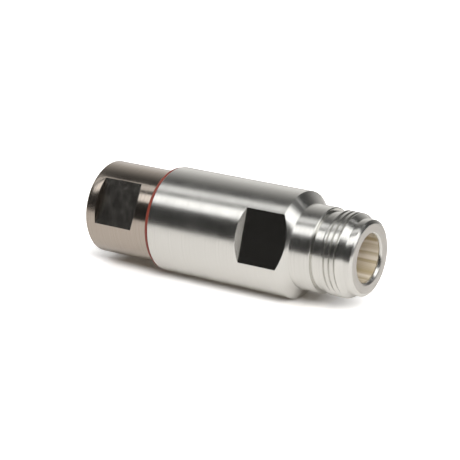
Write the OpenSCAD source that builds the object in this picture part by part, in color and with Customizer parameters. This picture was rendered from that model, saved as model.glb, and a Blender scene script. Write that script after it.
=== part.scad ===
// N-type coaxial cable connector, female, clamp fitting for corrugated cable.
// Millimetres. The connector stands on the rear face of its back nut, with its
// axis on +Z and the coupling interface on top. The body's two spanner flats
// are square to Y.

/* [Cable] */
// Diameter over the cable's jacket
jacket_d = 11.2; // [10.8:0.1:11.6]
// Diameter over the crests of the cable's corrugated outer conductor
crest_d = 9.6; // [9.2:0.1:10]
// Diameter in the roots of the corrugated outer conductor
root_d = 8.2; // [7.8:0.1:8.6]
// Diameter of the cable's inner conductor
core_d = 3.1; // [2.9:0.1:3.3]

/* [Coupling interface] */
// Outside diameter of the coupling thread
coupling_d = 15.8; // [15.7:0.05:15.85]
// Length of the full coupling thread
coupling_l = 3.3; // [2.5:0.1:5]
// Turns of the coupling thread in an inch
coupling_tpi = 24; // [20:1:28]
// Diameter of the smooth pilot ahead of the thread
pilot_d = 14.2; // [13.8:0.1:14.8]
// Length of the pilot, with its edge
pilot_l = 1.75; // [1.2:0.05:2.5]
// Outside diameter of the flat front face
rim_d = 12.85; // [12.4:0.05:13.2]
// Diameter at which the front face ends and the mouth begins
mouth_rim_d = 10.4; // [10:0.1:10.8]
// Diameter of the mouth
mouth_d = 8.9; // [8.5:0.1:9.4]
// Length of the mouth's straight wall
mouth_l = 2.25; // [1.5:0.05:3.2]
// Diameter of the bore that the mating outer contact grips
socket_d = 8.08; // [8.03:0.01:8.13]
// Distance from the front face back to the reference plane
reference_depth = 9.1; // [9.04:0.01:9.19]
// Distance from the front face back to the centre contact's tip
contact_depth = 4.1; // [4.05:0.05:5]
// Diameter of the centre contact
contact_d = 3.04; // [2.9:0.01:3.1]
// Diameter of the hole for the mating pin
pin_hole_d = 1.64; // [1.6:0.01:1.7]
// Depth of the hole for the mating pin
pin_hole_l = 5.5; // [4:0.1:6]
// Width of the slots in the centre contact
slot_w = 0.35; // [0.2:0.05:0.5]

/* [Front body] */
// Outside diameter of the front body
body_d = 20.2; // [19.8:0.1:22]
// Length of the front body's barrel
barrel_l = 28.1; // [27:0.1:32]
// Length of the bevel between barrel and neck
shoulder_l = 1.7; // [1:0.1:2.5]
// Diameter of the neck behind the coupling thread
neck_d = 16.12; // [16.1:0.02:16.6]
// Length of the neck
neck_l = 4.3; // [3:0.1:6]
// Diameter of the relief groove between neck and thread
relief_d = 14.9; // [14.4:0.1:15.2]
// Length of the relief groove
relief_l = 1.95; // [1.2:0.05:2.5]
// Width across the body's two spanner flats
body_flats = 17.35; // [16.6:0.05:18.6]
// Length of the flats on the barrel
body_flats_l = 8; // [6:0.1:10]
// Angle by which the wall behind the body's flats leans back
body_wall_lean = 25; // [0:1:45]

/* [Back nut] */
// Outside diameter of the back nut
nut_d = 17.8; // [17.6:0.1:18.6]
// Length of the nut's head, from its rear face to the seal
nut_head_l = 14.7; // [14.5:0.1:16]
// Width across the nut's two spanner flats
nut_flats = 15.3; // [14.9:0.1:16.2]
// Distance from the rear face to the nut's flats
nut_flats_z = 2.45; // [1.5:0.05:4]
// Length of the nut's flats
nut_flats_l = 8.25; // [6:0.05:9.5]
// Angle by which the wall ahead of the nut's flats leans forward
nut_wall_lean = 35; // [0:1:45]
// Angle by which the tight nut's flats lie behind the body's
nut_clock = 7.3; // [0:0.1:90]
// Outside diameter of the nut's threaded spigot
spigot_d = 16.9; // [16.7:0.1:17.2]
// Length of thread on the spigot
spigot_thread_l = 8; // [6:0.5:10]
// Length of the cable bore in the rear wall of the nut
cable_bore_l = 3.6; // [2.8:0.1:4]
// Diameter of the chamber that holds the jacket gasket
gasket_chamber_d = 12.8; // [12.6:0.1:13.2]
// Diameter of the chamber that holds the clamp jaws
jaw_chamber_d = 14.2; // [14.1:0.1:14.4]

/* [Seals] */
// How far the ring between nut and body lies inside the body's barrel
seal_inset = 0.15; // [0:0.05:0.3]
// Width of the ring where it shows between nut and body
seal_w = 0.75; // [0.5:0.05:1.2]
// Diameter of the nut's groove that the ring sits in
seal_groove_d = 16.2; // [16:0.05:16.4]
// Length of that groove
seal_groove_l = 1.9; // [1.85:0.05:2.4]
// Length of the jacket gasket
gasket_l = 6.8; // [5:0.1:7]
// Number of sealing lips inside the jacket gasket
gasket_lips = 3; // [2:1:4]
// Height of a sealing lip
lip_h = 0.25; // [0.15:0.05:0.35]

/* [Clamp] */
// Length of the thrust ring between gasket and jaws
thrust_l = 3; // [2:0.1:3.2]
// Angle left open between neighbouring jaws
jaw_gap_angle = 6; // [3:0.5:9]
// Thickness of the wire that holds the jaws together
jaw_wire_d = 1; // [0.8:0.05:1.1]
// Thickness of the retaining ring
retainer_l = 0.7; // [0.5:0.05:0.9]
// Radial width of the retaining ring
retainer_w = 0.9; // [0.8:0.05:1]
// Thickness of the flared outer conductor that jaws and cone grip
flare_t = 0.35; // [0.25:0.05:0.45]

/* [Inner line] */
// Inside diameter of the outer conductor at the reference plane
line_d = 7; // [6.8:0.05:7.2]
// Thickness of the body's web behind the reference plane
web_l = 1.2; // [0.8:0.1:1.6]
// Diameter of the front insulator bead and of the bush behind it
bead_d = 9.8; // [9.4:0.1:10.2]
// Thickness of the front insulator bead
front_bead_l = 4; // [3:0.1:5]
// Outside diameter of the flaring bush
bush_d = 13.2; // [12.8:0.1:13.8]
// Length of the flaring bush inside the body
bush_l = 6.8; // [6:0.1:8]
// Inside diameter of the flaring bush around the rear socket
bush_bore_d = 9.2; // [8.8:0.1:9.4]
// Thickness of the rear insulator bead
rear_bead_l = 3; // [2:0.1:3.2]
// Outside diameter of the rear socket's basket
basket_d = 4; // [3.9:0.1:4.4]
// Length of the rear socket's basket
basket_l = 5; // [4:0.1:5.4]

/* [Hidden] */
$fn = 96;

// Clamp jaws, one node each
jaws = 6;

// Clearances
run_gap = 0.05;      // between threads and faces that turn on each other
seat_gap = 0.02;     // between pieces that are pressed or laid together
cable_gap = 0.2;     // round the cable's jacket
crest_gap = 0.2;     // between the jaws' bore and the cable's corrugations
jaw_side_gap = 0.1;  // between the jaws and their chamber
retainer_gap = 0.15; // between the retaining ring and the jaws
wire_gap = 0.1;      // room for the jaws' wire along its groove
over = 1;            // how far a cut runs past a face

// Broken and bevelled edges
edge = 0.15;
nut_edge = 0.45;
entry = 0.5;
front_edge = 0.4;
mouth_edge = 0.75;
seal_mouth = 0.9;
seal_lip = 0.8;

// Lengths of the thread's cone, of the clear turns past a thread, and of a tool's undercut
thread_cone_l = 1.15;
clear_turns_l = 1.6;
undercut = 0.25;

// The coupling thread's 60 degree grooves, half a pitch wide at their crests
coupling_pitch = 25.4 / coupling_tpi;
groove_half_w = coupling_pitch / 4;
groove_root_half_w = coupling_pitch / 16;
groove_depth = (groove_half_w - groove_root_half_w) / tan(30);
coupling_turns = floor((coupling_l - edge) / coupling_pitch + 1 / 4);

// Heights from the nut's rear face up to the front face
z_gasket = cable_bore_l;
z_thrust = z_gasket + gasket_l + run_gap;
z_jaws = z_thrust + thrust_l;
z_body = nut_head_l + seal_w;
z_spigot = nut_head_l + seal_groove_l;
z_spigot_end = z_spigot + spigot_thread_l;
z_bush = z_spigot_end + clear_turns_l;
z_bush_end = z_bush + bush_l;
z_shoulder = z_body + barrel_l;
z_neck = z_shoulder + shoulder_l;
z_relief = z_neck + neck_l;
z_thread = z_relief + relief_l;
z_thread_end = z_thread + coupling_l;
z_pilot = z_thread_end + thread_cone_l;
z_face = z_pilot + pilot_l;
z_mouth = z_face - mouth_edge - mouth_l;
z_reference = z_face - reference_depth;
z_web = z_reference - web_l;
z_front_bead = z_web - front_bead_l;
z_contact_tip = z_face - contact_depth;
z_rear_bead = z_bush_end - rear_bead_l;
z_basket = z_rear_bead - basket_l;

// The flaring cone and the jaws that close on it, at 45 degrees
cone_wall = 0.35;
cone_land = 0.25;
cone_shelf = 0.7;
bush_floor = 0.4;
cone_bore_d = root_d - 2 * cone_wall;
cone_tip_d = cone_bore_d + 2 * cone_land;
cone_base_d = bush_d - 2 * cone_shelf;
z_cone_tip = z_bush - (cone_base_d - cone_tip_d) / 2;
jaw_step = 0.6;
jaw_rim = 0.4;
jaw_d = jaw_chamber_d - 2 * jaw_side_gap;
jaw_bore_d = crest_d + 2 * crest_gap;
jaw_lip_d = root_d + 2 * run_gap;
jaw_nose_d = jaw_d - 2 * jaw_step;
jaw_cone_d = jaw_nose_d - 2 * jaw_rim;
cone_offset = flare_t * sqrt(2);
z_jaw_tip = z_cone_tip + (jaw_cone_d - cone_tip_d) / 2 - cone_offset;
z_jaw_lip = z_jaw_tip - (jaw_cone_d - jaw_lip_d) / 2;
jaw_lip_l = 1.6;
retainer_wall = 1;
z_retainer = z_spigot_end - retainer_wall - retainer_l;
retainer_d = jaw_nose_d + 2 * (retainer_gap + retainer_w);
wire_wall = 1.9;
wire_groove_l = jaw_wire_d + wire_gap;
wire_groove_d = jaw_d - 2 * jaw_wire_d;
z_wire_groove = z_jaws + wire_wall;

// The contact pieces: the neck in the front bead, the sleeve in the rear bead and the stud in it
contact_step = 0.42;
sleeve_step = 0.22;
stud_gap = 0.04;
bead_rim = 0.6;
contact_neck_d = contact_d - 2 * contact_step;
sleeve_d = contact_d - 2 * sleeve_step;
stud_d = pin_hole_d - 2 * stud_gap;
rear_bead_d = bush_bore_d + 2 * bead_rim;

// Lengths of slots, holes and the stud, as shares of what they are cut in
pin_slot_share = 0.82;
basket_slot_share = 0.74;
basket_hole_share = 0.8;
stud_l = rear_bead_l * 0.7;

steel_silver = [0.80, 0.80, 0.79];
nickel_warm = [0.70, 0.67, 0.63];
contact_gold = [0.85, 0.70, 0.38];
ptfe_white = [0.95, 0.95, 0.93];
silicone_red = [0.62, 0.20, 0.13];
rubber_black = [0.10, 0.10, 0.10];
spring_steel = [0.60, 0.61, 0.63];

// A solid turned from its section, given as radius and height
module turned(section) {
    rotate_extrude() polygon(section);
}

// Two opposite spanner flats, milled from z0 to z1 into a bar, between walls that may lean out
module flats_cut(across, bar_d, z0, z1, lean0 = 0, lean1 = 0) {
    for (turn = [0, 180])
        rotate([0, 0, turn]) rotate([90, 0, 90])
            linear_extrude(2 * bar_d, center = true)
                polygon([[across / 2, z0], [across / 2 + bar_d, z0 - bar_d * tan(lean0)],
                    [across / 2 + bar_d, z1 + bar_d * tan(lean1)], [across / 2, z1]]);
}

// Slots across a tube's end: four walls from two sawn cuts
module cross_slots(d, z0, z1) {
    for (turn = [0, 90])
        rotate([0, 0, turn])
            translate([-d, -slot_w / 2, z0]) cube([2 * d, slot_w, z1 - z0]);
}

// Front body: barrel with spanner flats, bevelled shoulder, neck and coupling thread
module front_body() {
    color(steel_silver)
    difference() {
        turned(concat([[0, z_body], [body_d / 2 - edge, z_body], [body_d / 2, z_body + edge],
            [body_d / 2, z_shoulder], [neck_d / 2, z_neck],
            [neck_d / 2, z_relief - edge], [neck_d / 2 - edge, z_relief],
            [relief_d / 2, z_relief], [relief_d / 2, z_thread - edge],
            [coupling_d / 2, z_thread + edge]],
            coupling_grooves(),
            [[coupling_d / 2, z_thread_end],
            [pilot_d / 2, z_pilot], [pilot_d / 2, z_face - front_edge],
            [rim_d / 2, z_face], [0, z_face]]));
        body_bores();
        flats_cut(body_flats, body_d, z_shoulder - body_flats_l, z_neck, lean0 = body_wall_lean);
    }
}

// Section of the coupling thread: rings at its pitch, without a lead
function coupling_grooves() =
    let (crest_r = coupling_d / 2, root_r = coupling_d / 2 - groove_depth)
    [for (i = [0:coupling_turns - 1])
        let (z = z_thread + edge + coupling_pitch * (i + 0.5))
        each [[crest_r, z - groove_half_w], [root_r, z - groove_root_half_w],
            [root_r, z + groove_root_half_w], [crest_r, z + groove_half_w]]];

// Everything bored into the front body, from the nut's thread to the mouth
module body_bores() {
    thread_r = spigot_d / 2 + run_gap;
    turned([[0, z_body - over], [thread_r + seal_mouth, z_body - over],
        [thread_r + seal_mouth, z_body], [thread_r, z_body + seal_mouth],
        [thread_r, z_spigot_end], [thread_r + undercut, z_spigot_end + undercut],
        [thread_r + undercut, z_bush], [bush_d / 2, z_bush],
        [bush_d / 2, z_bush_end], [bead_d / 2, z_bush_end],
        [bead_d / 2, z_web], [line_d / 2, z_web],
        [line_d / 2, z_reference], [socket_d / 2, z_reference],
        [socket_d / 2, z_mouth - (mouth_d - socket_d) / 2], [mouth_d / 2, z_mouth],
        [mouth_d / 2, z_face - mouth_edge], [mouth_rim_d / 2, z_face],
        [mouth_rim_d / 2, z_face + over], [0, z_face + over]]);
}

// An insulator bead: a disc with a ring turned out of each face, in the middle of its wall
module bead(outer_d, hole_d, z0, l) {
    wall = (outer_d - hole_d) / 2;
    ring_d = hole_d + 0.6 * wall;
    ring_w = 0.35 * wall;
    recess = l * 0.28;
    difference() {
        translate([0, 0, z0]) cylinder(d = outer_d, h = l);
        translate([0, 0, z0 - over]) cylinder(d = hole_d, h = l + 2 * over);
        for (z = [z0 - over, z0 + l - recess])
            translate([0, 0, z]) difference() {
                cylinder(d = ring_d + 2 * ring_w, h = recess + over);
                translate([0, 0, -over]) cylinder(d = ring_d, h = recess + 3 * over);
            }
    }
}

module front_bead() {
    color(ptfe_white)
    bead(bead_d - 2 * seat_gap, contact_neck_d + 2 * seat_gap, z_front_bead + seat_gap,
        front_bead_l - 2 * seat_gap);
}

module rear_bead() {
    color(ptfe_white)
    bead(rear_bead_d - 2 * seat_gap, sleeve_d + 2 * seat_gap, z_rear_bead + seat_gap,
        rear_bead_l - 2 * seat_gap);
}

// Bush that forms the outer conductor between the two beads
module bead_bush() {
    color(steel_silver)
    difference() {
        translate([0, 0, z_bush_end + seat_gap])
            cylinder(d = bead_d - 2 * seat_gap, h = z_front_bead - z_bush_end - seat_gap);
        translate([0, 0, z_bush_end - over])
            cylinder(d = line_d, h = z_front_bead - z_bush_end + 2 * over);
    }
}

// Bush whose cone flares the cable's outer conductor
module flaring_bush() {
    color(steel_silver)
    turned([[cone_bore_d / 2, z_cone_tip], [cone_tip_d / 2, z_cone_tip],
        [cone_base_d / 2, z_bush + seat_gap], [bush_d / 2 - seat_gap, z_bush + seat_gap],
        [bush_d / 2 - seat_gap, z_bush_end - seat_gap],
        [rear_bead_d / 2, z_bush_end - seat_gap], [rear_bead_d / 2, z_rear_bead],
        [bush_bore_d / 2, z_rear_bead],
        [bush_bore_d / 2, z_bush + bush_floor + (bush_bore_d - cone_bore_d) / 2],
        [cone_bore_d / 2, z_bush + bush_floor]]);
}

// Female centre contact: slotted front, held by the front bead, stud at the rear
module centre_contact() {
    r = contact_d / 2;
    neck = contact_neck_d / 2;
    color(contact_gold)
    difference() {
        turned([[0, z_bush_end - stud_l], [stud_d / 2, z_bush_end - stud_l],
            [stud_d / 2, z_bush_end], [r, z_bush_end], [r, z_front_bead],
            [neck, z_front_bead], [neck, z_web], [r, z_web],
            [r, z_contact_tip - edge], [r - edge, z_contact_tip], [0, z_contact_tip]]);
        translate([0, 0, z_contact_tip - pin_hole_l]) cylinder(d = pin_hole_d, h = pin_hole_l + over);
        cross_slots(contact_d, z_contact_tip - pin_hole_l * pin_slot_share, z_contact_tip + over);
    }
}

// Rear socket: slotted basket for the cable's inner conductor, screwed on the contact's stud
module rear_socket() {
    color(contact_gold)
    difference() {
        turned([[0, z_basket], [basket_d / 2 - edge, z_basket], [basket_d / 2, z_basket + edge],
            [basket_d / 2, z_rear_bead], [sleeve_d / 2, z_rear_bead],
            [sleeve_d / 2, z_bush_end - seat_gap], [0, z_bush_end - seat_gap]]);
        translate([0, 0, z_basket - over])
            cylinder(d = core_d + 2 * run_gap, h = basket_l * basket_hole_share + over);
        translate([0, 0, z_bush_end - stud_l - 2 * seat_gap])
            cylinder(d = stud_d + 2 * seat_gap, h = stud_l + over);
        cross_slots(basket_d, z_basket - over, z_basket + basket_l * basket_slot_share);
    }
}

// Back nut: head with spanner flats, seal groove and threaded spigot
module back_nut() {
    color(nickel_warm)
    rotate([0, 0, -nut_clock])
    difference() {
        turned([[0, 0], [nut_d / 2 - nut_edge, 0], [nut_d / 2, nut_edge],
            [nut_d / 2, nut_head_l - edge], [nut_d / 2 - edge, nut_head_l],
            [seal_groove_d / 2, nut_head_l], [seal_groove_d / 2, z_spigot],
            [spigot_d / 2, z_spigot + (spigot_d - seal_groove_d) / 2],
            [spigot_d / 2, z_spigot_end - entry], [spigot_d / 2 - entry, z_spigot_end],
            [0, z_spigot_end]]);
        nut_bores();
        flats_cut(nut_flats, nut_d, nut_flats_z, nut_flats_z + nut_flats_l, lean1 = nut_wall_lean);
    }
}

// Cable bore, gasket chamber, jaw chamber and the retaining ring's groove
module nut_bores() {
    cable_r = jacket_d / 2 + cable_gap;
    z_seat = z_jaws - run_gap;
    turned([[0, -over], [cable_r + entry, -over], [cable_r + entry, 0], [cable_r, entry],
        [cable_r, z_gasket], [gasket_chamber_d / 2, z_gasket],
        [gasket_chamber_d / 2, z_seat], [jaw_chamber_d / 2, z_seat],
        [jaw_chamber_d / 2, z_retainer - run_gap], [retainer_d / 2 + run_gap, z_retainer - run_gap],
        [retainer_d / 2 + run_gap, z_retainer + retainer_l + run_gap],
        [jaw_chamber_d / 2, z_retainer + retainer_l + run_gap],
        [jaw_chamber_d / 2, z_spigot_end + over], [0, z_spigot_end + over]]);
}

// Silicone ring squeezed between the nut's shoulder and the body's rear face
module seal_ring() {
    inner_r = seal_groove_d / 2 + seat_gap;
    outer_r = body_d / 2 - seal_inset;
    lip_r = spigot_d / 2 + seal_lip;
    z0 = nut_head_l + seat_gap;
    z1 = z_body - seat_gap;
    round_r = (z1 - z0) / 2;
    color(silicone_red)
    rotate_extrude() {
        translate([inner_r, z0]) square([outer_r - round_r - inner_r, z1 - z0]);
        translate([outer_r - round_r, z0 + round_r]) circle(r = round_r);
        polygon([[inner_r, z1], [lip_r, z1], [lip_r - seal_lip, z1 + seal_lip],
            [inner_r, z1 + seal_lip]]);
    }
}

// Gasket that grips the cable's jacket with a few lips
module jacket_gasket() {
    outer_r = gasket_chamber_d / 2 - seat_gap;
    inner_r = jacket_d / 2 + cable_gap - run_gap;
    z0 = z_gasket + seat_gap;
    step = (gasket_l - seat_gap) / gasket_lips;
    color(rubber_black)
    turned(concat([[outer_r, z0 + gasket_l - seat_gap], [outer_r, z0]],
        [for (i = [0:gasket_lips - 1], p = [0, 1])
            [inner_r - p * lip_h, z0 + (i + p / 2) * step]],
        [[inner_r, z0 + gasket_l - seat_gap]]));
}

// Ring that passes the nut's pull from the gasket to the jaws
module thrust_ring() {
    outer_r = gasket_chamber_d / 2 - run_gap;
    inner_r = jacket_d / 2 + cable_gap;
    cup_r = jaw_bore_d / 2 + cable_gap;
    cup_l = 0.8;
    color(nickel_warm)
    turned([[inner_r + edge, z_thrust], [outer_r, z_thrust], [outer_r, z_jaws],
        [cup_r, z_jaws], [cup_r, z_jaws - cup_l], [inner_r, z_thrust + edge]]);
}

// One clamp jaw: a sector of the ring that closes behind a corrugation
module jaw(number) {
    color(steel_silver)
    rotate([0, 0, (number - 1) * 360 / jaws + jaw_gap_angle / 2])
    rotate_extrude(angle = 360 / jaws - jaw_gap_angle)
        polygon([[jaw_bore_d / 2, z_jaws], [jaw_d / 2, z_jaws],
            [jaw_d / 2, z_wire_groove], [wire_groove_d / 2, z_wire_groove],
            [wire_groove_d / 2, z_wire_groove + wire_groove_l],
            [jaw_d / 2, z_wire_groove + wire_groove_l],
            [jaw_d / 2, z_retainer - retainer_gap], [jaw_nose_d / 2, z_retainer - retainer_gap],
            [jaw_nose_d / 2, z_jaw_tip], [jaw_cone_d / 2, z_jaw_tip],
            [jaw_lip_d / 2, z_jaw_lip], [jaw_lip_d / 2, z_jaw_lip - jaw_lip_l],
            [jaw_bore_d / 2, z_jaw_lip - jaw_lip_l - (jaw_bore_d - jaw_lip_d) / 2]]);
}

// A ring bent from wire or strip and left open at one side
module open_ring(open_angle) {
    rotate([0, 0, open_angle / 2])
    rotate_extrude(angle = 360 - open_angle) children();
}

module jaw_wire() {
    color(spring_steel)
    open_ring(14)
        translate([wire_groove_d / 2 + jaw_wire_d / 2 + seat_gap, z_wire_groove + wire_groove_l / 2])
            circle(d = jaw_wire_d);
}

module retaining_ring() {
    color(spring_steel)
    open_ring(30)
        translate([retainer_d / 2 - retainer_w, z_retainer])
            square([retainer_w, retainer_l]);
}

front_body();
front_bead();
bead_bush();
rear_bead();
flaring_bush();
centre_contact();
rear_socket();
back_nut();
seal_ring();
jacket_gasket();
thrust_ring();
jaw(1);  // jaw_1
jaw(2);  // jaw_2
jaw(3);  // jaw_3
jaw(4);  // jaw_4
jaw(5);  // jaw_5
jaw(6);  // jaw_6
jaw_wire();
retaining_ring();
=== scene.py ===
"""Looks of a coaxial cable connector: its turned pieces, their finishes and a small studio."""
import math

import bmesh
import bpy
from mathutils import Matrix, Vector


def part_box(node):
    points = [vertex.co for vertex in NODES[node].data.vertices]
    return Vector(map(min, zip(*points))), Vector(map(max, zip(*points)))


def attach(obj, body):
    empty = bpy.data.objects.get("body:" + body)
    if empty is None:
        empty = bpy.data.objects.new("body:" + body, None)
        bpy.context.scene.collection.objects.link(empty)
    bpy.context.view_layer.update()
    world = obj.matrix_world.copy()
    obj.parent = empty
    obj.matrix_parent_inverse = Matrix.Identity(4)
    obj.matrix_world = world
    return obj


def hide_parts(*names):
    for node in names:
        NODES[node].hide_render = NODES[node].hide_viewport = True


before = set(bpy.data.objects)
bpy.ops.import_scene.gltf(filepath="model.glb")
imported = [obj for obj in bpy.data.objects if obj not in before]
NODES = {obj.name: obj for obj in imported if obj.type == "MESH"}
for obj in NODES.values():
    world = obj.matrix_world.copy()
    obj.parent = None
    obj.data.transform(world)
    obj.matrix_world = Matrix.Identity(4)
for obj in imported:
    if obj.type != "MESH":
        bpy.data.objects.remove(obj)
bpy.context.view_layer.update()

MM = 0.001

# ---------------------------------------------------------------- sizes, in millimetres
# Heights run from the back nut's rear face up the axis to the front face. Those that other
# pieces share come from the CAD solids; radii and lengths are the drawing's.


def span(node):
    """Lowest and highest height of a CAD node, in millimetres."""
    low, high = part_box(node)
    return low.z / MM, high.z / MM


SEAT_GAP = 0.02         # between pieces that seat in each other
RUN_GAP = 0.05          # between pieces that turn or slide on each other

BODY_REAR, FRONT_FACE = span("front_body")
NUT_REAR, SPIGOT_END = span("back_nut")
BEAD_LOW, BEAD_HIGH = span("front_bead")
JAW_SEAT = span("thrust_ring")[1]
GASKET_LOW, GASKET_HIGH = span("jacket_gasket")
CONTACT_LOW, CONTACT_TIP = span("centre_contact")
RETAINER_LOW, RETAINER_HIGH = span("retaining_ring")
BUSH_END = span("flaring_bush")[1] + SEAT_GAP

# Front body
BARREL_R = 10.1
NECK_R = 8.06
RELIEF_R = 7.45
COUPLING_R = 7.9
PILOT_R = 7.1
RIM_R = 6.425
MOUTH_R = 4.45
SOCKET_R = 4.04
LINE_R = 3.5
BEAD_SEAT_R = 4.9
BUSH_SEAT_R = 6.6
NUT_THREAD_R = 8.5
NUT_THREAD_CLEAR = 1.6  # room past the end of the nut's spigot
UNDERCUT = 0.25
SEAL_MOUTH = 0.9        # bevel at the rear that the seal ring fills
EDGE = 0.15

BODY_FLAT = 17.35 / 2
FLAT_L = 8.0
SHOULDER = BODY_REAR + 28.1
NECK = SHOULDER + 1.7
RELIEF = NECK + 4.3
THREAD = RELIEF + 1.95
THREAD_END = THREAD + 3.3
PILOT = THREAD_END + 1.15
THREAD_RUN = 0.2        # what the threading tool leaves at its start, and runs past the end
FACE_BEVEL = 0.4
MOUTH_EDGE = 0.75
MOUTH_L = 2.25
MOUTH_FLOOR = FRONT_FACE - MOUTH_EDGE - MOUTH_L
MOUTH_TAPER = 4         # length of the taper behind the mouth, for each millimetre it narrows
REFERENCE = FRONT_FACE - 9.1
WEB = REFERENCE - 1.2
COUPLING_PITCH = 25.4 / 24
FLAT_WALL_LEAN = 25

# Back nut
NUT_R = 8.9
HEAD_END = 14.7
NUT_FLAT = 15.3 / 2
NUT_FLAT_LOW = 2.45
NUT_FLAT_L = 8.25
NUT_WALL_LEAN = 35
NUT_CLOCK = -7.3
SEAL_GROOVE_R = 8.1
SPIGOT = HEAD_END + 1.9
SPIGOT_R = 8.45
SPIGOT_PITCH = 1.0
SPIGOT_THREAD = SPIGOT + 0.9
SPIGOT_THREAD_OUT = SPIGOT_END + 0.6
CABLE_R = 5.8
GASKET_CHAMBER_R = 6.4
JAW_CHAMBER_R = 7.1
RETAINER_GROOVE_R = 7.5
GASKET_SEAT = 3.6
NUT_EDGE = 0.45
ENTRY = 0.5

# Seal ring, gasket, bead and centre contact
SEAL_R = 9.95
SEAL_LIP = 0.8
GASKET_R = 5.75         # between the lips
GASKET_LIPS = 3
LIP_H = 0.25
LIP_STEPS = 8
BEAD_RING = (0.3, 0.65)     # shares of the bead's wall between which a ring is turned out
BEAD_RING_DEEP = 0.28       # share of the bead's thickness
CONTACT_R = 1.52
CONTACT_NECK_R = 1.1
PIN_HOLE_R = 0.82
PIN_HOLE_L = 5.5
SLOT_W = 0.35
SLOT_SHARE = 0.82       # how much of the pin hole's length the slots run along
TIP_BEVEL = 0.3
STUD_R = 0.78

STEPS = 240             # flats' edges then fall midway between the lathe's facets
SMALL_STEPS, CONTACT_STEPS = 160, 96
FINE = 0.05             # the break that deburring leaves on a sharp edge
CONTACT_BREAK, BEAD_BREAK = 0.04, 0.06
NEAR = 0.05             # how near a face lies to a plane or bore that it belongs to
SQUARE = 0.999          # cosine above which a face counts as square to an axis
FACED_DEEP = 0.1        # how far down its rounded edges the front face's finish runs
SMOOTH = 28             # degrees between faces that are shaded as one turned face
SHARP = 20              # degrees between faces from which an edge is broken
MERGE = 1e-4            # points of a new section closer than this are one
CLEAN = 1e-3            # the same, after edges are broken


# ---------------------------------------------------------------- modelling
def start_on(part):
    """Makes one object the only selected and active one."""
    bpy.ops.object.select_all(action="DESELECT")
    part.select_set(True)
    bpy.context.view_layer.objects.active = part


def turned(name, section, steps=STEPS):
    """A piece turned from its closed section of radius and height, in millimetres."""
    bpy.ops.object.select_all(action="DESELECT")
    bpy.ops.mesh.primitive_plane_add(size=1.0)
    part = bpy.context.object
    part.name = part.data.name = name
    bpy.ops.object.mode_set(mode="EDIT")
    bpy.ops.mesh.merge(type="CENTER")
    r, z = section[0]
    bpy.ops.transform.translate(value=(r, 0, z))
    for r1, z1 in section[1:] + section[:1]:
        bpy.ops.mesh.extrude_vertices_move(
            TRANSFORM_OT_translate={"value": (r1 - r, 0, z1 - z)})
        r, z = r1, z1
    bpy.ops.mesh.select_all(action="SELECT")
    bpy.ops.mesh.remove_doubles(threshold=MERGE)
    bpy.ops.mesh.spin(steps=steps, angle=2 * math.pi, center=(0, 0, 0), axis=(0, 0, 1))
    bpy.ops.mesh.select_all(action="SELECT")
    bpy.ops.mesh.remove_doubles(threshold=MERGE)
    bpy.ops.mesh.normals_make_consistent(inside=False)
    bpy.ops.object.mode_set(mode="OBJECT")
    return part


def arc(centre_r, centre_z, radius, start, end, count=8):
    """Points of a round in a section, from one angle to another in degrees."""
    points = []
    for i in range(count + 1):
        angle = math.radians(start + (end - start) * i / count)
        points.append((centre_r + radius * math.cos(angle), centre_z + radius * math.sin(angle)))
    return points


def block(size, centre):
    """A cutting tool: a block of the given size at its place."""
    bpy.ops.object.select_all(action="DESELECT")
    bpy.ops.mesh.primitive_cube_add(size=1.0, location=centre)
    tool = bpy.context.object
    tool.scale = size
    bpy.ops.object.transform_apply(location=True, rotation=True, scale=True)
    return tool


def drill(radius, low, high, steps=64):
    """A cutting tool: a drill as thick as its hole."""
    bpy.ops.object.select_all(action="DESELECT")
    bpy.ops.mesh.primitive_cylinder_add(
        vertices=steps, radius=radius, depth=high - low, location=(0, 0, (low + high) / 2))
    bpy.ops.object.transform_apply(location=True, rotation=True, scale=True)
    return bpy.context.object


def cut(part, tool):
    """Takes the tool's shape out of the part, and puts the tool away."""
    step = part.modifiers.new("cut", "BOOLEAN")
    step.operation = "DIFFERENCE"
    step.solver = "EXACT"
    step.object = tool
    start_on(part)
    bpy.ops.object.modifier_apply(modifier=step.name)
    bpy.data.objects.remove(tool)


def lean_wall(tool, half_width, end, degrees):
    """Leans one end wall of a milling tool outwards, from its flat to its far side."""
    start_on(tool)
    bpy.ops.object.mode_set(mode="EDIT")
    bpy.ops.mesh.select_all(action="DESELECT")
    mesh = bmesh.from_edit_mesh(tool.data)
    for v in mesh.verts:
        v.select_set(abs(v.co.z - end) < CLEAN and abs(v.co.y) > half_width + CLEAN)
        if v.select:
            reach = abs(v.co.y) - half_width
    mesh.select_flush_mode()
    bmesh.update_edit_mesh(tool.data)
    bpy.ops.transform.translate(value=(0, 0, reach * math.tan(math.radians(degrees))))
    bpy.ops.object.mode_set(mode="OBJECT")


def mill_flats(part, half_width, radius, low, high, low_lean=0.0, high_lean=0.0):
    """Mills two opposite spanner flats, square to Y, between walls that may lean outwards."""
    for side in (-1, 1):
        tool = block((4 * radius, radius, high - low),
                     (0, side * (half_width + radius / 2), (low + high) / 2))
        lean_wall(tool, half_width, low, -low_lean)
        lean_wall(tool, half_width, high, high_lean)
        cut(part, tool)


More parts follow.
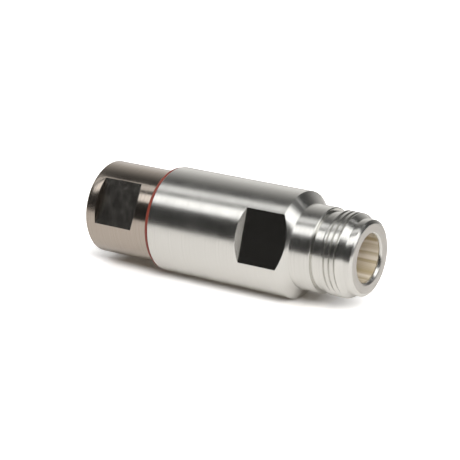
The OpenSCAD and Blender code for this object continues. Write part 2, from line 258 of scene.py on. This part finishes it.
def thread_tool(crest_r, pitch, low, high):
    """The groove of a right-hand 60 degree thread, half a pitch wide, as a solid wound about Z.

    Its root is a flat of an eighth of the pitch, and it stands a little proud of the crests.
    """
    proud = 0.12
    lean = math.tan(math.radians(30))
    half_root = pitch / 16
    root_r = crest_r - (pitch / 4 - half_root) / lean
    half_top = pitch / 4 + proud * lean
    bpy.ops.object.select_all(action="DESELECT")
    bpy.ops.mesh.primitive_plane_add(size=1.0)
    tool = bpy.context.object
    bpy.ops.object.mode_set(mode="EDIT")
    bpy.ops.mesh.merge(type="CENTER")
    bpy.ops.transform.translate(value=(root_r, 0, low - half_root))
    for step_r, step_z in ((crest_r + proud - root_r, half_root - half_top), (0, 2 * half_top),
                           (root_r - crest_r - proud, half_root - half_top), (0, -2 * half_root)):
        bpy.ops.mesh.extrude_vertices_move(
            TRANSFORM_OT_translate={"value": (step_r, 0, step_z)})
    bpy.ops.mesh.select_all(action="SELECT")
    bpy.ops.mesh.remove_doubles(threshold=MERGE)
    bpy.ops.object.mode_set(mode="OBJECT")
    turns = (high - low) / pitch
    wind = tool.modifiers.new("wind", "SCREW")
    wind.axis = "Z"
    wind.angle = math.radians(360 * turns)
    wind.screw_offset = high - low
    wind.steps = wind.render_steps = round(96 * turns)
    wind.use_merge_vertices = False
    start_on(tool)
    bpy.ops.object.modifier_apply(modifier=wind.name)
    bpy.ops.object.mode_set(mode="EDIT")
    bpy.ops.mesh.select_all(action="DESELECT")
    bpy.ops.mesh.select_non_manifold()
    bpy.ops.mesh.fill_holes(sides=0)
    bpy.ops.mesh.select_all(action="SELECT")
    bpy.ops.mesh.normals_make_consistent(inside=False)
    bpy.ops.object.mode_set(mode="OBJECT")
    return tool


def break_edges(part, width=FINE, segments=2):
    """Rounds every sharp outer edge by the width that deburring takes off."""
    start_on(part)
    bpy.ops.object.mode_set(mode="EDIT")
    bpy.ops.mesh.select_mode(type="EDGE")
    bpy.ops.mesh.select_all(action="DESELECT")
    mesh = bmesh.from_edit_mesh(part.data)
    for e in mesh.edges:
        if e.is_convex and e.calc_face_angle(0) > math.radians(SHARP):
            e.select_set(True)
    bmesh.update_edit_mesh(part.data)
    bpy.ops.mesh.bevel(offset=width, segments=segments, profile=0.5, clamp_overlap=True)
    bpy.ops.mesh.select_mode(type="VERT")
    bpy.ops.mesh.select_all(action="SELECT")
    bpy.ops.mesh.remove_doubles(threshold=CLEAN)
    bpy.ops.mesh.dissolve_degenerate(threshold=CLEAN)
    bpy.ops.object.mode_set(mode="OBJECT")


def turn_about_axis(part, degrees):
    """Turns a piece about the connector's axis, and keeps the turn in its mesh."""
    part.rotation_euler = (0, 0, math.radians(degrees))
    start_on(part)
    bpy.ops.object.transform_apply(location=True, rotation=True, scale=True)


def finish_piece(part, body, nodes, material):
    """Brings a piece to metres, smooths its turned faces, and hands it to its body."""
    part.scale = (MM, MM, MM)
    start_on(part)
    bpy.ops.object.transform_apply(location=True, rotation=True, scale=True)
    bpy.ops.object.shade_smooth_by_angle(angle=math.radians(SMOOTH))
    even = part.modifiers.new("even", "WEIGHTED_NORMAL")
    even.keep_sharp = True
    bpy.ops.object.modifier_apply(modifier=even.name)
    part.data.materials.clear()
    part.data.materials.append(material)
    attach(part, body)
    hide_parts(*nodes)


def finish_flats(part, turn, half_width, low, high, material):
    """Gives the milled flats their own finish: the faces that lie in the flats' planes."""
    part.data.materials.append(material)
    square = Matrix.Rotation(math.radians(-turn), 3, "Z")
    for face in part.data.polygons:
        normal = square @ face.normal
        centre = square @ face.center
        if (abs(normal.y) > SQUARE and abs(abs(centre.y) / MM - half_width) < NEAR
                and low < centre.z / MM < high):
            face.material_index = 1


# ---------------------------------------------------------------- materials
# All patterns are laid out in the piece's own millimetres. The real feed marks are about a tenth
# of a millimetre apart and the plating's grain is finer still, too fine to show when the whole
# connector is in view. They are drawn as coarse as they need to show: lines 0.2 to 0.9 mm apart,
# and a grain of about 0.2 mm.
DULLED_FROM, DULLED_TO = 1.0, 4.0   # heights between which a dulled rear end turns bright
WAVE_TURN = 0.314                   # a wave texture of scale 1 repeats after this length
STREAK_W = 0.8                      # of the reamer's streaks


def colour(code):
    """An sRGB hex colour as linear red, green, blue and alpha."""
    channels = [int(code[i:i + 2], 16) / 255 for i in (1, 3, 5)]
    return [c / 12.92 if c <= 0.04045 else ((c + 0.055) / 1.055) ** 2.4 for c in channels] + [1.0]


def add(tree, kind, sockets=None, **settings):
    """Adds a node, sets it, and gives each named socket its value or its link."""
    node = tree.nodes.new("ShaderNode" + kind)
    for key, value in settings.items():
        setattr(node, key, value)
    for socket, value in (sockets or {}).items():
        if isinstance(value, bpy.types.NodeSocket):
            tree.links.new(value, node.inputs[socket])
        else:
            node.inputs[socket].default_value = value
    return node


def new_material(name):
    """An empty material with its tree and output."""
    made = bpy.data.materials.new(name)
    made.use_nodes = True
    made.node_tree.nodes.clear()
    return made, made.node_tree, add(made.node_tree, "OutputMaterial")


def turned_metal(name, light, dark, rough, feed, dulled=0.0):
    """Plated brass as it comes off the lathe.

    The feed leaves fine rings round the axis, so the eye sees each lamp as a soft-edged band
    along the bar, crossed by faint lines; the plating over them is bright, with a slight grain.
    The rear end can be dulled, as barrel plating leaves an open end: lamps blur there.
    """
    made, tree, out = new_material(name)
    place = add(tree, "TexCoord").outputs["Object"]
    split = add(tree, "SeparateXYZ", {0: place})
    across = add(tree, "CombineXYZ", {0: split.outputs[0], 1: split.outputs[1]})
    radius = add(tree, "VectorMath", {0: across.outputs[0]}, operation="LENGTH")
    travel = add(tree, "Math", {0: split.outputs[2], 1: radius.outputs["Value"]}, operation="ADD")
    rings = add(tree, "TexNoise", {"W": travel.outputs[0], "Scale": 1 / (feed * MM), "Detail": 3.0,
                                   "Roughness": 0.65}, noise_dimensions="1D")
    grain = add(tree, "TexNoise", {"Vector": place, "Scale": 1 / (0.22 * MM), "Detail": 2.0})
    broad = add(tree, "TexNoise", {"Vector": place, "Scale": 1 / (3.0 * MM), "Detail": 2.0})
    tone = add(tree, "MapRange", {"Value": rings.outputs[0], "From Min": 0.3, "From Max": 0.7})
    mixed = add(tree, "Mix", {"Factor": tone.outputs[0], 6: colour(light), 7: colour(dark)},
                data_type="RGBA")
    marks = add(tree, "Math", {0: rings.outputs[0], 1: grain.outputs[0]}, operation="ADD")
    marks = add(tree, "Math", {0: marks.outputs[0], 1: broad.outputs[0]}, operation="ADD")
    gloss = add(tree, "MapRange", {"Value": marks.outputs[0], "From Min": 1.0, "From Max": 2.0,
                                   "To Min": rough * 0.8, "To Max": rough * 1.35})
    end = add(tree, "MapRange", {"Value": split.outputs[2], "From Min": DULLED_FROM * MM,
                                 "From Max": DULLED_TO * MM, "To Min": dulled, "To Max": 0.0})
    gloss = add(tree, "Math", {0: gloss.outputs[0], 1: end.outputs[0]}, operation="ADD")
    low = add(tree, "Bump", {"Height": rings.outputs[0], "Strength": 0.25, "Distance": 0.003 * MM})
    fine = add(tree, "Bump", {"Height": grain.outputs[0], "Strength": 0.25,
                              "Distance": 0.003 * MM, "Normal": low.outputs[0]})
    around = add(tree, "VectorMath", {0: (0, 0, 1), 1: place}, operation="CROSS_PRODUCT")
    shader = add(tree, "BsdfPrincipled", {
        "Base Color": mixed.outputs[2], "Metallic": 1.0, "Roughness": gloss.outputs[0],
        "Anisotropic": 0.35, "Tangent": around.outputs[0], "Normal": fine.outputs[0]})
    add_output(tree, out, shader)
    return made


def matt_bore(name, light, dark, rough):
    """A reamed bore under matt plating.

    The reamer leaves streaks along the bore, drawn just under a millimetre wide. The plating's
    fine crystals scatter part of the light, so the eye sees a milky cream where a bright bore
    would mirror its own dark depth: that part is given as a share that isn't metallic.
    """
    made, tree, out = new_material(name)
    place = add(tree, "TexCoord").outputs["Object"]
    split = add(tree, "SeparateXYZ", {0: place})
    across = add(tree, "CombineXYZ", {0: split.outputs[0], 1: split.outputs[1]})
    round_axis = add(tree, "VectorMath", {0: across.outputs[0]}, operation="NORMALIZE")
    streaks = add(tree, "TexNoise", {"Vector": round_axis.outputs[0], "Scale": MOUTH_R / STREAK_W,
                                     "Detail": 2.0, "Roughness": 0.55})
    grain = add(tree, "TexNoise", {"Vector": place, "Scale": 1 / (0.2 * MM), "Detail": 2.0})
    tone = add(tree, "MapRange", {"Value": streaks.outputs[0], "From Min": 0.35, "From Max": 0.65})
    mixed = add(tree, "Mix", {"Factor": tone.outputs[0], 6: colour(light), 7: colour(dark)},
                data_type="RGBA")
    gloss = add(tree, "MapRange", {"Value": streaks.outputs[0], "From Min": 0.3, "From Max": 0.7,
                                   "To Min": rough * 0.75, "To Max": rough * 1.25})
    bump = add(tree, "Bump", {"Height": grain.outputs[0], "Strength": 0.3, "Distance": 0.003 * MM})
    shader = add(tree, "BsdfPrincipled", {
        "Base Color": mixed.outputs[2], "Metallic": 0.35, "Roughness": gloss.outputs[0],
        "Normal": bump.outputs[0]})
    add_output(tree, out, shader)
    return made


def add_output(tree, out, shader):
    """Links a shader to its material's output."""
    tree.links.new(shader.outputs[0], out.inputs["Surface"])


def milled_metal(name, light, dark, rough, feed, centre, stretch):
    """Plated brass under a mill: shallow arcs, one for each step of the feed.

    A flat mirrors one patch of the room, so the eye sees an even dark or light field, faintly
    mottled by the cutter's smears.
    """
    made, tree, out = new_material(name)
    place = add(tree, "TexCoord").outputs["Object"]
    shifted = add(tree, "Mapping", {"Vector": place, "Location": [-c * MM for c in centre]})
    arcs = add(tree, "TexWave", {"Vector": shifted.outputs[0], "Scale": WAVE_TURN / (feed * MM),
                                 "Distortion": 1.0, "Detail": 1.0, "Detail Scale": 0.8},
               wave_type="RINGS", rings_direction="SPHERICAL")
    smear = add(tree, "Mapping", {"Vector": place, "Scale": stretch})
    streaks = add(tree, "TexNoise", {"Vector": smear.outputs[0], "Scale": 1 / (0.9 * MM),
                                     "Detail": 3.0})
    share = add(tree, "MapRange", {"Value": streaks.outputs[0], "From Min": 0.35, "From Max": 0.65})
    tone = add(tree, "Mix", {"Factor": share.outputs[0], 6: colour(light), 7: colour(dark)},
               data_type="RGBA")
    marks = add(tree, "Math", {0: arcs.outputs["Fac"], 1: 0.35, 2: streaks.outputs[0]},
                operation="MULTIPLY_ADD")
    gloss = add(tree, "MapRange", {"Value": marks.outputs[0], "From Min": 0.2, "From Max": 1.1,
                                   "To Min": rough * 0.92, "To Max": rough * 1.08})
    bump = add(tree, "Bump", {"Height": marks.outputs[0], "Strength": 0.1, "Distance": 0.0008 * MM})
    shader = add(tree, "BsdfPrincipled", {
        "Base Color": tone.outputs[2], "Metallic": 1.0, "Roughness": gloss.outputs[0],
        "Normal": bump.outputs[0]})
    add_output(tree, out, shader)
    return made


def moulded(name, light, dark, rough, grain, depth, soft=0.0, soft_radius=(1, 1, 1)):
    """A moulded or turned polymer: the eye sees one soft colour with a fine, even, low grain."""
    made, tree, out = new_material(name)
    place = add(tree, "TexCoord").outputs["Object"]
    cloud = add(tree, "TexNoise", {"Vector": place, "Scale": 1 / (2.0 * MM), "Detail": 3.0})
    pores = add(tree, "TexNoise", {"Vector": place, "Scale": 1 / (grain * MM), "Detail": 2.0})
    tone = add(tree, "Mix", {"Factor": cloud.outputs[0], 6: colour(light), 7: colour(dark)},
               data_type="RGBA")
    gloss = add(tree, "MapRange", {"Value": pores.outputs[0], "From Min": 0.3, "From Max": 0.7,
                                   "To Min": rough * 0.85, "To Max": rough * 1.15})
    bump = add(tree, "Bump", {"Height": pores.outputs[0], "Strength": 0.4, "Distance": depth * MM})
    shader = add(tree, "BsdfPrincipled", {
        "Base Color": tone.outputs[2], "Roughness": gloss.outputs[0], "Normal": bump.outputs[0],
        "Subsurface Weight": soft, "Subsurface Radius": soft_radius, "Subsurface Scale": 0.3 * MM})
    add_output(tree, out, shader)
    return made


# White bronze plating: a neutral silver with crisp bands of light.
WHITE_BRONZE = turned_metal("turned_white_bronze", "#d7d6d2", "#d1d0cb", 0.2, 0.34)
# The same plating on the faced front, where the finer feed leaves an even satin ring.
FACED_BRONZE = turned_metal("faced_white_bronze", "#c5c2bd", "#bcb9b4", 0.34, 0.2)
# Inside the mouth it is matt: a pale cream with soft streaks that run inwards.
BORE_SILVER = matt_bore("matt_plated_bore", "#e4dccf", "#b3a587", 0.45)
# Nickel: darker and warmer than the body, smooth, a little blurred at the rear end.
NICKEL = turned_metal("turned_nickel", "#b4aaa0", "#aba196", 0.15, 0.3, 0.085)
# The body's flats: nearly black where they mirror the dark room, with little mottling.
BODY_MILLED = milled_metal("milled_white_bronze", "#bdbbb6", "#a5a39d", 0.15, 0.5,
                           (-16.0, 0.0, 41.0), (1.0, 1.0, 1.0))
# The nut's flats: a duller charcoal, clouded by smears across the nut.
NUT_MILLED = milled_metal("milled_nickel", "#cfcbc4", "#96928c", 0.246, 0.9,
                          (0.0, 0.0, 60.0), (0.35, 0.35, 0.6))
# Silicone: matt brick red, with a little light in its depth.
SILICONE = moulded("moulded_silicone", "#7d372a", "#6b2d22", 0.42, 0.25, 0.01, 0.15,
                   (1.0, 0.3, 0.2))
# PTFE: waxy white that lets light in.
PTFE = moulded("turned_ptfe", "#f1f0ec", "#e7e5df", 0.45, 0.12, 0.006, 0.3, (1.0, 1.0, 1.0))
# Rubber: a dull near-black that shows no mirror image.
RUBBER = moulded("moulded_rubber", "#1c1c1d", "#262627", 0.6, 0.15, 0.01)
# Gold over bronze: bright yellow rings.
GOLD = turned_metal("gold_plated_bronze", "#e3bd72", "#d2a75c", 0.18, 0.2)
# Phosphated spring steel: a flat mid grey.
SPRING = turned_metal("phosphated_spring_steel", "#8d8f93", "#75777b", 0.3, 0.25)


# ---------------------------------------------------------------- pieces
def make_front_body():
    """Barrel with spanner flats, bevelled shoulder, neck and coupling thread."""
    section = [
        (BARREL_R - EDGE, BODY_REAR), (BARREL_R, BODY_REAR + EDGE), (BARREL_R, SHOULDER),
        (NECK_R, NECK), (NECK_R, RELIEF - EDGE), (NECK_R - EDGE, RELIEF), (RELIEF_R, RELIEF),
        (RELIEF_R, THREAD - EDGE), (COUPLING_R, THREAD + EDGE), (COUPLING_R, THREAD_END),
        (PILOT_R, PILOT), (PILOT_R, FRONT_FACE - FACE_BEVEL), (RIM_R, FRONT_FACE)]
    section += arc(MOUTH_R + MOUTH_EDGE, FRONT_FACE - MOUTH_EDGE, MOUTH_EDGE, 90, 180)
    section += [
        (MOUTH_R, MOUTH_FLOOR),
        (SOCKET_R, MOUTH_FLOOR - MOUTH_TAPER * (MOUTH_R - SOCKET_R)), (SOCKET_R, REFERENCE),
        (LINE_R, REFERENCE), (LINE_R, WEB), (BEAD_SEAT_R, WEB), (BEAD_SEAT_R, BUSH_END),
        (BUSH_SEAT_R, BUSH_END), (BUSH_SEAT_R, SPIGOT_END + NUT_THREAD_CLEAR),
        (NUT_THREAD_R + UNDERCUT, SPIGOT_END + NUT_THREAD_CLEAR),
        (NUT_THREAD_R + UNDERCUT, SPIGOT_END + UNDERCUT),
        (NUT_THREAD_R, SPIGOT_END), (NUT_THREAD_R, BODY_REAR + SEAL_MOUTH),
        (NUT_THREAD_R + SEAL_MOUTH, BODY_REAR)]
    body = turned("front_body_turned", section)
    mill_flats(body, BODY_FLAT, BARREL_R, SHOULDER - FLAT_L, NECK, low_lean=FLAT_WALL_LEAN)
    break_edges(body)
    cut(body, thread_tool(COUPLING_R, COUPLING_PITCH, THREAD + THREAD_RUN, PILOT + THREAD_RUN))
    finish_piece(body, "front", ["front_body"], WHITE_BRONZE)
    finish_flats(body, 0, BODY_FLAT, SHOULDER - FLAT_L, NECK, BODY_MILLED)
    body.data.materials.append(BORE_SILVER)
    body.data.materials.append(FACED_BRONZE)
    for face in body.data.polygons:
        radius = Vector((face.center.x, face.center.y)).length / MM
        height = face.center.z / MM
        if radius < MOUTH_R + NEAR and WEB + NEAR < height < FRONT_FACE - MOUTH_EDGE:
            face.material_index = 2
        elif radius < RIM_R + NEAR and height > FRONT_FACE - FACED_DEEP:
            face.material_index = 3


def make_back_nut():
    """Head with spanner flats, seal groove and threaded spigot."""
    section = [
        (NUT_R - NUT_EDGE, NUT_REAR), (NUT_R, NUT_REAR + NUT_EDGE), (NUT_R, HEAD_END - EDGE),
        (NUT_R - EDGE, HEAD_END), (SEAL_GROOVE_R, HEAD_END), (SEAL_GROOVE_R, SPIGOT),
        (SPIGOT_R, SPIGOT + SPIGOT_R - SEAL_GROOVE_R), (SPIGOT_R, SPIGOT_END - ENTRY),
        (SPIGOT_R - ENTRY, SPIGOT_END), (JAW_CHAMBER_R, SPIGOT_END),
        (JAW_CHAMBER_R, RETAINER_HIGH + RUN_GAP), (RETAINER_GROOVE_R, RETAINER_HIGH + RUN_GAP),
        (RETAINER_GROOVE_R, RETAINER_LOW - RUN_GAP), (JAW_CHAMBER_R, RETAINER_LOW - RUN_GAP),
        (JAW_CHAMBER_R, JAW_SEAT - RUN_GAP), (GASKET_CHAMBER_R, JAW_SEAT - RUN_GAP),
        (GASKET_CHAMBER_R, GASKET_SEAT), (CABLE_R, GASKET_SEAT), (CABLE_R, NUT_REAR + ENTRY),
        (CABLE_R + ENTRY, NUT_REAR)]
    nut = turned("back_nut_turned", section)
    mill_flats(nut, NUT_FLAT, NUT_R, NUT_FLAT_LOW, NUT_FLAT_LOW + NUT_FLAT_L,
               high_lean=NUT_WALL_LEAN)
    break_edges(nut)
    cut(nut, thread_tool(SPIGOT_R, SPIGOT_PITCH, SPIGOT_THREAD, SPIGOT_THREAD_OUT))
    turn_about_axis(nut, NUT_CLOCK)
    finish_piece(nut, "nut", ["back_nut"], NICKEL)
    finish_flats(nut, NUT_CLOCK, NUT_FLAT, NUT_FLAT_LOW, NUT_FLAT_LOW + NUT_FLAT_L, NUT_MILLED)


def make_seal_ring():
    """Silicone ring whose rounded rim shows between nut and body."""
    low, high = HEAD_END + SEAT_GAP, BODY_REAR - SEAT_GAP
    bead_r = (high - low) / 2
    inner = SEAL_GROOVE_R + SEAT_GAP
    section = ([(inner, low)] + arc(SEAL_R - bead_r, low + bead_r, bead_r, -90, 90, 10)
               + [(SPIGOT_R + SEAL_LIP, high), (SPIGOT_R, high + SEAL_LIP),
                  (inner, high + SEAL_LIP)])
    ring = turned("seal_ring_moulded", section)
    finish_piece(ring, "nut", ["seal_ring"], SILICONE)


def make_centre_contact():
    """Female centre contact: four tines round the pin's hole."""
    section = [
        (0, CONTACT_LOW), (STUD_R, CONTACT_LOW), (STUD_R, BUSH_END), (CONTACT_R, BUSH_END),
        (CONTACT_R, BEAD_LOW - SEAT_GAP), (CONTACT_NECK_R, BEAD_LOW - SEAT_GAP),
        (CONTACT_NECK_R, WEB), (CONTACT_R, WEB), (CONTACT_R, CONTACT_TIP - TIP_BEVEL),
        (CONTACT_R - TIP_BEVEL, CONTACT_TIP), (0, CONTACT_TIP)]
    contact = turned("centre_contact_turned", section, CONTACT_STEPS)
    past = CONTACT_TIP + 1
    cut(contact, drill(PIN_HOLE_R, CONTACT_TIP - PIN_HOLE_L, past))
    slot_low = CONTACT_TIP - PIN_HOLE_L * SLOT_SHARE
    for size in ((4 * CONTACT_R, SLOT_W), (SLOT_W, 4 * CONTACT_R)):
        cut(contact, block((*size, past - slot_low), (0, 0, (slot_low + past) / 2)))
    break_edges(contact, CONTACT_BREAK)
    finish_piece(contact, "front", ["centre_contact"], GOLD)


def make_front_bead():
    """Insulator disc with a ring turned out of each face."""
    hole, rim = CONTACT_NECK_R + SEAT_GAP, BEAD_SEAT_R - SEAT_GAP
    inner, outer = (hole + share * (rim - hole) for share in BEAD_RING)
    deep = (BEAD_HIGH - BEAD_LOW) * BEAD_RING_DEEP
    section = [
        (hole, BEAD_LOW), (inner, BEAD_LOW), (inner, BEAD_LOW + deep), (outer, BEAD_LOW + deep),
        (outer, BEAD_LOW), (rim, BEAD_LOW), (rim, BEAD_HIGH), (outer, BEAD_HIGH),
        (outer, BEAD_HIGH - deep), (inner, BEAD_HIGH - deep), (inner, BEAD_HIGH),
        (hole, BEAD_HIGH)]
    bead = turned("front_bead_turned", section, SMALL_STEPS)
    break_edges(bead, BEAD_BREAK)
    finish_piece(bead, "front", ["front_bead"], PTFE)


def make_jacket_gasket():
    """Rubber gasket with rounded sealing lips inside."""
    outer = GASKET_CHAMBER_R - SEAT_GAP
    step = (GASKET_HIGH - GASKET_LOW) / GASKET_LIPS
    section = [(outer, GASKET_HIGH), (outer, GASKET_LOW)]
    for i in range(GASKET_LIPS * LIP_STEPS):
        share = i / LIP_STEPS
        bulge = LIP_H * (0.5 - 0.5 * math.cos(2 * math.pi * share))
        section.append((GASKET_R - bulge, GASKET_LOW + share * step))
    section.append((GASKET_R, GASKET_HIGH))
    gasket = turned("jacket_gasket_moulded", section, SMALL_STEPS)
    finish_piece(gasket, "nut", ["jacket_gasket"], RUBBER)


def dress_solids():
    """Gives the solids that stay as they are their finish."""
    finishes = {"bead_bush": WHITE_BRONZE, "flaring_bush": WHITE_BRONZE, "rear_bead": PTFE,
                "rear_socket": GOLD, "thrust_ring": NICKEL, "jaw_wire": SPRING,
                "retaining_ring": SPRING}
    finishes.update({f"jaw_{i}": WHITE_BRONZE for i in range(1, 7)})
    for node, material in finishes.items():
        NODES[node].data.materials.clear()
        NODES[node].data.materials.append(material)


make_front_body()
make_back_nut()
make_seal_ring()
make_centre_contact()
make_front_bead()
make_jacket_gasket()
dress_solids()

# ---------------------------------------------------------------- studio
# The connector is seen lying on its barrel, mouth to the right, though it stands on its nut in
# its own frame. LYING turns the studio's axes (along the connector, away from the viewer, up from
# the floor) into the frame's.
LEAN = math.radians(18.8)
LYING = Matrix((
    (0, -math.sin(LEAN), -math.cos(LEAN)),
    (0, math.cos(LEAN), -math.sin(LEAN)),
    (1, 0, 0)))
MIDDLE = 28                     # along the connector
VIEW_TURN = math.radians(33)
CAMERA_PLACE = (219.6, -295.2, 118.1)
CAMERA_TARGET = (27.535, 0, -0.048)
LENS = 154.4
LAMP_DISTANCE = 600
PLAIN_WHITE = (1, 1, 1, 1)
PAPER = "#e3e1df"
# A dim warm glow painted on the whole floor: it is the colour of the darkest shade under the
# connector, and the metal mirrors it too.
SHADE_LIFT = (0.04, 0.034, 0.027, 1)
# Where the floor is painted white to the eye, in millimetres: a first share close beside the
# connector's middle line, the rest further out, and all of it past the ends of the shadow. This
# painted light narrows the shadow that the key lamp casts and hides it past the ends.
FIRST_SHARE = 0.35
CLOSE_BESIDE, FAR_BESIDE, PAST_ENDS = (2.5, 6.5), (9, 30), (21, 38)
SHADOW_MIDDLE = -3
# How bright the lit backdrop is at each angle from the line of sight, in degrees.
GLOW = ((0, 1.0), (10, 0.9), (20, 0.82), (27, 0.68), (34, 0.52), (40, 0.42), (46, 0.29),
        (52, 0.18), (60, 0.08), (70, 0.035), (90, 0.03))
GLOW_TINT = (1, 0.985, 0.96)


def lying(x, y, z):
    """A point of the studio, in millimetres, in the frame."""
    return LYING @ Vector((x, y, z)) * MM


def aim(thing, place, target, along):
    """Puts a camera or lamp at its place, looking at its target, with its X side along a line."""
    back = (place - target).normalized()
    side = (along - along.dot(back) * back).normalized()
    turn = Matrix((side, back.cross(side), back)).transposed()
    thing.matrix_world = Matrix.Translation(place) @ turn.to_4x4()


def make_camera():
    """A long lens, a third of a right angle round from the side and a little above."""
    data = bpy.data.cameras.new("camera")
    data.lens = LENS
    data.sensor_width = 36
    data.clip_start, data.clip_end = 0.01, 20
    camera = bpy.data.objects.new("camera", data)
    bpy.context.collection.objects.link(camera)
    place, target = lying(*CAMERA_PLACE), lying(*CAMERA_TARGET)
    up = LYING @ Vector((0, 0, 1))
    aim(camera, place, target, (target - place).cross(up))
    bpy.context.scene.camera = camera


def from_camera(right, away, up):
    """A place in the studio set out square to the camera, in lamp distances."""
    x = right * math.cos(VIEW_TURN) - away * math.sin(VIEW_TURN)
    y = right * math.sin(VIEW_TURN) + away * math.cos(VIEW_TURN)
    return lying(MIDDLE + LAMP_DISTANCE * x, LAMP_DISTANCE * y, LAMP_DISTANCE * up)


def make_soft_box(name, start, end, width, strength):
    """A long soft box between two places, turned on its length to face the connector."""
    data = bpy.data.lights.new(name, "AREA")
    data.shape = "RECTANGLE"
    data.size, data.size_y = (end - start).length, width * MM
    data.energy = strength * math.pi * data.size * data.size_y
    lamp = bpy.data.objects.new(name, data)
    bpy.context.collection.objects.link(lamp)
    side = (end - start).normalized()
    place = (start + end) / 2
    back = place - lying(MIDDLE, 0, 0)
    back = (back - back.dot(side) * side).normalized()
    aim(lamp, place, place - back, side)
    lamp.visible_camera = False
    return lamp


def make_floor():
    """A pale sweep seen from above only; it takes the connector's shadow.

    To the eye it is painted white away from the connector, beside it and past its ends, so that
    only the shadow close beside the connector shows. The metal mirrors only the paper and its dim
    painted glow, not the painted white.
    """
    bpy.ops.object.select_all(action="DESELECT")
    bpy.ops.mesh.primitive_plane_add(size=3.0)
    floor = bpy.context.object
    floor.name = "floor"
    floor.matrix_world = Matrix.Translation(lying(MIDDLE, 0, -BARREL_R)) @ LYING.to_4x4()
    made, tree, out = new_material("pale_sweep")
    place = add(tree, "TexCoord").outputs["Object"]
    split = add(tree, "SeparateXYZ", {0: place})
    beside = add(tree, "Math", {0: split.outputs[1]}, operation="ABSOLUTE")
    along = add(tree, "Math", {0: split.outputs[0], 1: -SHADOW_MIDDLE * MM}, operation="ADD")
    along = add(tree, "Math", {0: along.outputs[0]}, operation="ABSOLUTE")
    paper = add(tree, "BsdfDiffuse", {"Color": colour(PAPER)})
    # Painted light: shares of painted white that rise with distance beside the connector and past
    # its ends.
    near, sides, ends = (
        add(tree, "MapRange", {"Value": off.outputs[0], "From Min": start * MM,
                               "From Max": end * MM, "To Max": share})
        for off, (start, end), share in ((beside, CLOSE_BESIDE, FIRST_SHARE),
                                         (beside, FAR_BESIDE, 1.0), (along, PAST_ENDS, 1.0)))
    lifted = add(tree, "Math", {0: near.outputs[0], 1: sides.outputs[0]}, operation="ADD")
    lifted = add(tree, "Math", {0: lifted.outputs[0], 1: ends.outputs[0]}, operation="ADD",
                 use_clamp=True)
    # To the eye the floor is painted from the dim glow up to white by these shares; other rays see
    # only the dim glow.
    path = add(tree, "LightPath")
    to_eye = add(tree, "Math", {0: lifted.outputs[0], 1: path.outputs["Is Camera Ray"]},
                 operation="MULTIPLY")
    lift = add(tree, "Mix", {"Factor": to_eye.outputs[0], 6: SHADE_LIFT, 7: PLAIN_WHITE},
               data_type="RGBA")
    lift = add(tree, "Emission", {"Color": lift.outputs[2]})
    both = add(tree, "AddShader", {0: paper.outputs[0], 1: lift.outputs[0]})
    clear = add(tree, "BsdfTransparent")
    side = add(tree, "NewGeometry")
    one_sided = add(tree, "MixShader", {0: side.outputs["Backfacing"], 1: both.outputs[0],
                                        2: clear.outputs[0]})
    add_output(tree, out, one_sided)
    floor.data.materials.append(made)


def make_room():
    """A dark room with a lit backdrop that fades out round the line of sight; white to the eye."""
    world = bpy.data.worlds.new("room")
    bpy.context.scene.world = world
    world.use_nodes = True
    tree = world.node_tree
    tree.nodes.clear()
    out = add(tree, "OutputWorld")
    way = add(tree, "TexCoord").outputs["Generated"]
    away = (from_camera(0, 1, 0) - from_camera(0, 0, 0)).normalized()
    level = add(tree, "VectorMath", {0: way, 1: away}, operation="DOT_PRODUCT")
    angle = add(tree, "Math", {0: level.outputs["Value"]}, operation="ARCCOSINE")
    share = add(tree, "Math", {0: angle.outputs[0], 1: math.pi / 2}, operation="DIVIDE")
    ramp = add(tree, "ValToRGB", {"Fac": share.outputs[0]})
    bar = ramp.color_ramp
    while len(bar.elements) < len(GLOW):
        bar.elements.new(1.0)
    for stop, (degrees, bright) in zip(bar.elements, GLOW):
        stop.position = degrees / 90
        stop.color = (*(bright * tint for tint in GLOW_TINT), 1)
    eye = add(tree, "LightPath")
    seen = add(tree, "Mix", {"Factor": eye.outputs["Is Camera Ray"], 6: ramp.outputs["Color"],
                             7: PLAIN_WHITE}, data_type="RGBA")
    back = add(tree, "Background", {"Color": seen.outputs[2], "Strength": 1.0})
    tree.links.new(back.outputs[0], out.inputs["Surface"])


def make_lights():
    """Three soft boxes that the metal mirrors, and a key light from the front that it doesn't."""
    make_soft_box("top_box", from_camera(-1.6, 0.42, 1), from_camera(0.15, 0.18, 1), 145, 1.15)
    make_soft_box("top_strip", from_camera(0.2, 0.3, 1), from_camera(2.5, 0.3, 1), 48, 1.15)
    make_soft_box("front_box", from_camera(-1.5, -0.12, 1.205), from_camera(1.25, -0.4, 0.27),
                  265, 1.8)
    key = make_soft_box("key", lying(MIDDLE + 50, -386, 460), lying(MIDDLE + 1450, -386, 460),
                        233, 10.0)
    key.visible_glossy = False


make_camera()
make_floor()
make_room()
make_lights()

bpy.context.scene.view_settings.view_transform = "Standard"
